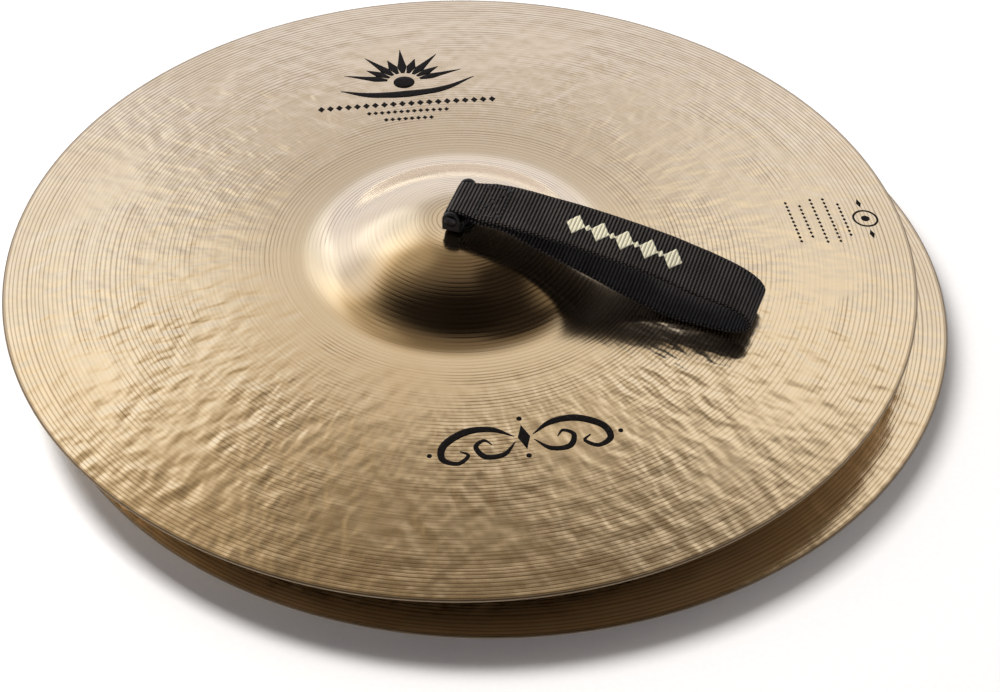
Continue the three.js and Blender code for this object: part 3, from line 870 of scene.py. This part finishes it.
def smooth_loop(points, steps):
    """A closed centripetal Catmull-Rom curve through points, `steps` to each span."""
    points = np.array(points, float)
    rounds = (((0, 1), (1, 2), (2, 3)), ((0, 2), (1, 3)), ((1, 2),))
    curve = []
    for i in range(len(points)):
        near = [points[(i + k) % len(points)] for k in (-1, 0, 1, 2)]
        gaps = [math.sqrt(np.linalg.norm(b - a)) for a, b in zip(near, near[1:])]
        knots = np.concatenate([[0], np.cumsum(gaps)])
        for t in np.linspace(knots[1], knots[2], steps, endpoint=False):
            blended = near
            for spans in rounds:
                blended = [((knots[b] - t) * blended[k] + (t - knots[a]) * blended[k + 1])
                           / (knots[b] - knots[a]) for k, (a, b) in enumerate(spans)]
            curve.append(blended[0])
    return np.array(curve)


def web_section():
    """Points round the webbing's section as (across, up), with rounded selvedges."""
    half = WEB_THICKNESS / 2
    reach = WEB_WIDTH / 2 - half
    side = [(x, half) for x in np.linspace(-reach, reach, 16)] + arc(reach, 0, half, 60, -60, 5)
    return np.array(side + [(-x, -z) for x, z in side])


class Web:
    """A strap's closed loop of webbing, in rows across it that start under the pin."""

    def __init__(self, loop, lean):
        wrap = PIN_RADIUS + 0.35 + WEB_THICKNESS / 2
        curve = smooth_loop(arc(0, 0, wrap, 270, 90, 5) + list(loop), 24)
        line = np.vstack([curve, curve[:1]])
        lengths = np.concatenate([[0], np.cumsum(np.linalg.norm(np.diff(line, axis=0), axis=1))])
        self.length = lengths[-1]
        rib_count = round(self.length / RIB_PITCH)
        rows = rib_count * ROWS_PER_RIB
        places = np.arange(rows) * self.length / rows
        self.middle = np.stack([np.interp(places, lengths, line[:, k]) for k in (0, 1)], axis=1)
        ahead = unit(np.roll(self.middle, -2, axis=0) - np.roll(self.middle, 2, axis=0))
        self.outward = np.stack([-ahead[:, 1], ahead[:, 0]], axis=1)
        self.rib = np.arange(rows) / ROWS_PER_RIB
        share = self.rib % 1
        self.crown = np.sqrt(1 - (2 * share - 1) ** 2)
        heights = np.random.default_rng(RIB_SEED).uniform(*RIB_UNEVENNESS, rib_count)
        self.lift = RIB_HEIGHT * (self.crown * heights[self.rib.astype(int)] - 1)
        distance, height = self.middle.T
        self.width = np.interp(distance, [NECK_END, FULL_WIDTH_AT], [NECK_WIDTH, WEB_WIDTH])
        above_bow = np.clip((height + 29.5) / 9, 0, 1)
        self.lean = lean * above_bow * np.interp(distance, *zip(*LEAN))

    def place(self, rows, across, up):
        """Points in the strap's frame at rows, each across and up from the middle line."""
        x = self.middle[rows, 0][:, None] + self.outward[rows, 0][:, None] * up
        z = self.middle[rows, 1][:, None] + self.outward[rows, 1][:, None] * up
        z = z + across * self.lean[rows][:, None] + PIN_AXIS
        return np.stack(np.broadcast_arrays(x, across, z), axis=-1)

    def run(self, top):
        """The rows of the run over or under the pin, in order from the pin."""
        tip = int(np.argmax(self.middle[:, 0]))
        start = int(np.argmax(self.rib > 0)) if top else tip
        rows = np.arange(start, tip) if top else np.arange(tip, len(self.middle))[::-1]
        return rows[self.middle[rows, 0] > NECK_END]


def strap(prefix, web, placed):
    """The webbing loop, its stitching and its print."""
    section = web_section()
    every = np.arange(len(web.middle))
    across = section[:, 0] * (web.width / WEB_WIDTH)[:, None]
    up = section[:, 1] * (1 + web.lift[:, None] / (WEB_THICKNESS / 2))
    points = web.place(every, across, up)
    marks = np.stack(np.broadcast_arrays(web.rib[:, None], across, web.crown[:, None]), axis=-1)
    made = mesh_object(prefix + "_webbing_loop", points.reshape(-1, 3),
                       grid_faces(len(every), len(section), closed=True), WEBBING, placed,
                       {"web": marks.reshape(-1, 3)})
    finish_piece(made, prefix, "strap", "webbing", "strap")
    sewing = stitching(prefix, web, placed)
    strap_print(prefix, web, placed)


def stitch_line(start, end):
    """Middles and half lengths of the stitches along one straight line, as (distance, across)."""
    start, end = np.array(start), np.array(end)
    count = max(1, round(np.linalg.norm(end - start) / STITCH_PITCH))
    step = (end - start) / count
    return [(start + step * (k + 0.5), step * 0.36) for k in range(count)]


def stitching(prefix, web, placed):
    """A sewn box with a cross in it, through both runs, showing above and below."""
    near, far, side = SEWN_FROM, SEWN_TO, SEWN_HALF
    corners = [(near, -side), (far, -side), (far, side), (near, side)]
    lines = list(zip(corners, corners[1:] + corners[:1]))
    lines += [(corners[0], corners[2]), (corners[1], corners[3])]
    stitches = [stitch for line in lines for stitch in stitch_line(*line)]
    turn = circle_angles(6)[:, None]
    dips = np.array([-0.5, -0.02, 0.16, 0.16, -0.02, -0.5])
    shares = np.linspace(-1, 1, len(dips))[:, None]
    vertices, faces = [], []
    for top in (True, False):
        rows = web.run(top)
        for middle, half in stitches:
            path = middle + half * shares
            at = rows[np.searchsorted(web.middle[rows, 0], path[:, 0])]
            line = web.place(at, path[:, 1:], (WEB_THICKNESS / 2 + dips)[:, None])[:, 0]
            line[:, 0] = path[:, 0]
            forward = np.gradient(line, axis=0)
            aside = unit(np.cross(forward, (0, 0, 1)))
            upward = unit(np.cross(aside, forward))
            around = np.cos(turn) * aside[:, None] + np.sin(turn) * upward[:, None]
            add_strip(vertices, faces, line[:, None] + THREAD_RADIUS * around)
    made = mesh_object(prefix + "_stitching", vertices, faces, THREAD, placed)
    return finish_piece(made, prefix, "strap", "webbing")


def add_strip(vertices, faces, rings):
    """Add a closed strip to a mesh, from an array of rings of points with a cap on each end."""
    rows, around = rings.shape[:2]
    first = len(vertices)
    vertices.extend(rings.reshape(-1, 3))
    faces += [[first + i for i in face] for face in grid_faces(rows, around, closed=False)]
    faces.append([first + i for i in range(around)][::-1])
    faces.append([first + (rows - 1) * around + i for i in range(around)])


def strap_print(prefix, web, placed):
    """A row of cream lozenges, large and small, printed on the run that faces up."""
    rows = web.run(top=True)
    vertices, faces = [], []
    for k, centre in enumerate(np.arange(53, 98, 5.5)):
        half_long, half_wide = (4.2, 6.0) if k % 2 == 0 else (1.5, 2.0)
        away = np.abs(web.middle[rows, 0] - centre) / half_long
        inside, share = rows[away < 1], 1 - away[away < 1]
        across = np.linspace(-1, 1, 9) * half_wide * share[:, None]
        up = (WEB_THICKNESS / 2 + web.lift[inside])[:, None]
        over = web.place(inside, across, up + INK_PROUD)
        under = web.place(inside, across, up - INK_PROUD)
        add_strip(vertices, faces, np.concatenate([over, under[:, ::-1]], axis=1))
    made = mesh_object(prefix + "_strap_print", vertices, faces, CREAM_INK, placed)
    return finish_piece(made, prefix, "strap", "cream_ink")


# ---- printed marks on the bronze ----

def line_stroke(points, half_widths, steps=14):
    """A stroke along a smooth line through points, its half width changing along it."""
    points = np.array(points, float)
    spans = len(points) - 1
    padded = np.vstack([2 * points[0] - points[1], points, 2 * points[-1] - points[-2]])
    places = np.linspace(0, spans, spans * steps + 1)
    base = np.minimum(places.astype(int), spans - 1)
    t = (places - base)[:, None]
    p0, p1, p2, p3 = (padded[base + k] for k in range(4))
    middle = 0.5 * (2 * p1 + (p2 - p0) * t + (2 * p0 - 5 * p1 + 4 * p2 - p3) * t ** 2
                    + (3 * p1 - p0 - 3 * p2 + p3) * t ** 3)
    return middle, np.interp(places, np.arange(spans + 1), half_widths)


def level_stroke(x, y, offsets, half_widths):
    """A stroke along a level line through (x, y)."""
    return np.stack([x + offsets, np.full(len(offsets), float(y))], axis=1), half_widths


def lozenge(x, y, half_long, half_wide):
    widths = half_wide * np.array([0.04, 0.5, 1, 0.5, 0.04])
    return level_stroke(x, y, half_long * np.linspace(-1, 1, 5), widths)


def dot(x, y, radius):
    turn = np.linspace(math.pi, 0, 11)
    return level_stroke(x, y, radius * np.cos(turn), np.maximum(radius * np.sin(turn), 0.04))


def lozenge_row(y, count, pitch, height=0.3):
    return [lozenge((k - (count - 1) / 2) * pitch, y, pitch * 0.38, pitch * height)
            for k in range(count)]


def sunrise():
    """A disc under a fan of tapered rays, over a sweeping line and three rows of lozenges."""
    strokes = [dot(0, 4, 5.0)]
    for k in range(9):
        turn = math.radians(18 + 18 * k)
        reach = 29 if k % 2 == 0 else 21
        ends = [(r * math.cos(turn), 4 + r * math.sin(turn)) for r in (8, 14, reach)]
        strokes.append(line_stroke(ends, (0.8, 2.2, 0.1), 8))
    strokes.append(line_stroke([(-30, 0), (-17, -5), (0, -6), (18, -3), (33, 6)],
                               (0.2, 1.9, 2.8, 1.9, 0.2)))
    return (strokes + lozenge_row(-14, 20, 4.2, 0.55) + lozenge_row(-20.5, 13, 3.0, 0.5)
            + lozenge_row(-26.5, 8, 3.0, 0.5))


def scrollwork():
    """Two mirrored scrolls about a lozenge."""
    strokes = [lozenge(0, 0, 2.6, 7), dot(0, 10.5, 1.2), dot(0, -10.5, 1.2)]
    for side in (-1, 1):
        outer = [(4, 1), (13, 6.5), (24, 7), (34, 1.5), (36, -6), (30, -9.5), (25, -6), (28, -3)]
        inner = [(4, -2), (10, -8), (18, -8), (21, -2), (17, 1), (14, -2)]
        for points, widths in ((outer, (0.2, 1.5, 1.9, 1.7, 1.4, 1.1, 0.8, 0.3)),
                               (inner, (0.2, 1.2, 1.4, 1.1, 0.8, 0.2))):
            strokes.append(line_stroke([(side * x, y) for x, y in points], widths))
        strokes.append(dot(side * 41, -3, 1.1))
    return strokes


def maker_rows():
    """Rows of small lozenges under a ringed dot."""
    strokes = [line_stroke(arc(0, 15, 5.5, 0, 360, 13), [0.5] * 13, 5), dot(0, 15, 2.0)]
    for side in (-1, 1):
        strokes.append(lozenge(side * 11, 15, 3, 1.2))
    for y, count in ((5, 9), (-1, 12), (-7, 12), (-13, 9), (-19, 11)):
        strokes += lozenge_row(y, count, 2.7)
    return strokes


def printed_marks(prefix, surface, placed):
    """Thin closed strips of ink that follow the hammered face, for all of a cymbal's marks."""
    vertices, faces = [], []
    for radius, angle, upright, strokes in ((126, 102, 95, sunrise()),
                                            (119.5, 283, 101, scrollwork()),
                                            (171.5, 10.5, 12, maker_rows())):
        angle, upright = math.radians(angle), math.radians(upright)
        up = np.array([math.cos(upright), math.sin(upright)])
        right = np.array([up[1], -up[0]])
        centre = radius * np.array([math.cos(angle), math.sin(angle)])
        for middle, half_widths in strokes:
            middle = centre + middle[:, :1] * right + middle[:, 1:] * up
            ahead = unit(np.gradient(middle, axis=0))
            left = np.stack([-ahead[:, 1], ahead[:, 0]], axis=1)
            across = np.linspace(1, -1, 5)[None, :, None] * half_widths[:, None, None]
            spots = middle[:, None] + left[:, None] * across
            heights = surface.height(spots[..., 0], spots[..., 1])[..., None]
            over = np.concatenate([spots, heights + INK_PROUD], axis=-1)
            under = np.concatenate([spots, heights - INK_PROUD], axis=-1)
            add_strip(vertices, faces, np.concatenate([over, under[:, ::-1]], axis=1))
    made = mesh_object(prefix + "_printed_marks", vertices, faces, INK, placed)
    finish_piece(made, prefix, "cymbal", "ink")


# ---- one hand cymbal ----

def hand_cymbal(prefix, seed, loop, lean):
    """One cymbal with its marks, its bolt, its yoke and its strap. lean is how much of LEAN its
    strap has."""
    placed, strapped = cymbal_frame(prefix), strap_frame(prefix)
    surface = Surface(seed)
    cymbal(prefix, surface, placed)
    printed_marks(prefix, surface, placed)
    for build in (hole_bush, felt_washer, steel_washer, lock_nut, nut_insert, swivel_bolt):
        build(prefix, placed)
    for build in (yoke, cross_pin, pin_clip):
        build(prefix, strapped)
    strap(prefix, Web(loop, lean), strapped)


# ---- stage ----

def camera():
    """The camera, set from where the upper cymbal's rim lies in its view."""
    elevation, roll = math.radians(41.05), math.radians(0.625)
    forward = Vector((0, math.cos(elevation), -math.sin(elevation)))
    level_up = Vector((0, math.sin(elevation), math.cos(elevation)))
    right = Vector((math.cos(roll), 0, 0)) - level_up * math.sin(roll)
    up = right.cross(forward)
    rim_middle = cymbal_frame("upper") @ Vector((0, 0, EDGE_THICKNESS * MM))
    # Where that point lies from the camera: right of its axis, below it, and ahead
    aside, below, away = -0.01768, -0.03279, 1.6073
    place = rim_middle - right * aside + up * below - forward * away
    data = bpy.data.cameras.new("camera")
    data.lens = 129.85
    data.sensor_width = 36
    data.clip_end = 20
    made = show(bpy.data.objects.new("camera", data))
    made.matrix_world = axes_at(place, right, up, -forward)
    bpy.context.scene.camera = made


def floor():
    """A wide sheet of pale paper under the lower rim."""
    far = 12000
    corners = [(-far, -far, 0), (far, -far, 0), (far, far, 0), (-far, far, 0)]
    made = mesh_object("floor", corners, [(0, 1, 2, 3)], FLOOR_PAPER, Matrix.Identity(4))


def key_light():
    """A square softbox at the back left, which the bronze itself doesn't mirror."""
    place = Vector((-1.5, 1.5, 2.2))
    data = bpy.data.lights.new("key", "AREA")
    data.size = 0.8
    data.energy = 120
    data.color = (1.0, 0.98, 0.96)
    made = show(bpy.data.objects.new("key", data))
    made.location = place
    made.rotation_euler = (-place).to_track_quat("-Z", "Y").to_euler()
    made.visible_glossy = False


def sky():
    """A studio surround: white low down, brightest at the back left, brown and dark overhead
    and behind the camera."""
    world = bpy.data.worlds.new("studio")
    bpy.context.scene.world = world
    world.use_nodes = True
    background = world.node_tree.nodes["Background"]
    direction = source(world, "ShaderNodeTexCoord", "Generated")
    up = split(direction)["Z"]

    def towards(azimuth, elevation):
        """Cosine of the angle to a direction; azimuth 0 is the back, positive to the right."""
        level = math.cos(math.radians(elevation))
        aim = (level * math.sin(math.radians(azimuth)), level * math.cos(math.radians(azimuth)),
               math.sin(math.radians(elevation)))
        return vector_calc("DOT_PRODUCT", direction, aim, output="Value")

    def lobe(azimuth, elevation, spread):
        """A soft round patch of light, its spread in degrees from middle to nothing."""
        edge = math.cos(math.radians(spread))
        return between(towards(azimuth, elevation), edge, 0.3 * edge + 0.7)

    band = calc("MULTIPLY_ADD", towards(-30, 0), -0.10, up)
    colour = ramp(band, [
        (0.0, (0.82, 0.84, 0.97)), (0.06, (0.92, 0.94, 1.08)), (0.20, (0.87, 0.89, 1.02)),
        (0.35, (0.84, 0.86, 0.98)), (0.43, (0.65, 0.63, 0.67)), (0.52, (0.54, 0.515, 0.52)),
        (0.61, (0.71, 0.66, 0.60)), (0.69, (0.69, 0.605, 0.49)), (0.735, (0.50, 0.40, 0.27)),
        (0.77, (0.27, 0.208, 0.13)), (0.81, (0.20, 0.154, 0.098)), (0.91, (0.16, 0.121, 0.08)),
        (0.96, (0.15, 0.115, 0.078)), (1.0, (0.10, 0.076, 0.052)),
    ])
    behind_camera = between(towards(180, 0), -0.25, 0.05, 0.0, 0.93)
    dark = times(behind_camera, between(up, 0.25, 0.65))
    lit = mix_colour(dark, colour, (0.0, 0.0, 0.0))
    for azimuth, elevation, spread, light in (
            (-29, 37, 18, (0.40, 0.45, 0.50)), (-52, 28, 26, (0.17, 0.18, 0.20)),
            (-38, 55, 16, (0.20, 0.17, 0.12)), (34, 36, 25, (0.28, 0.31, 0.34)),
            (7, 50, 12, (0.13, 0.14, 0.15))):
        lit = mix_colour(lobe(azimuth, elevation, spread), lit, light, "ADD")
    lit = mix_colour(lobe(62, 68, 16), lit, (0.020, 0.014, 0.009))
    world.node_tree.links.new(lit, background.inputs["Color"])
    background.inputs["Strength"].default_value = 1.03


def stage():
    camera()
    floor()
    sky()
    key_light()
    bpy.context.scene.view_settings.view_transform = "Standard"


stage()
hand_cymbal("lower", seed=11, loop=FLAT_LOOP, lean=0.0)
hand_cymbal("upper", seed=5, loop=LOOSE_LOOP, lean=1.0)
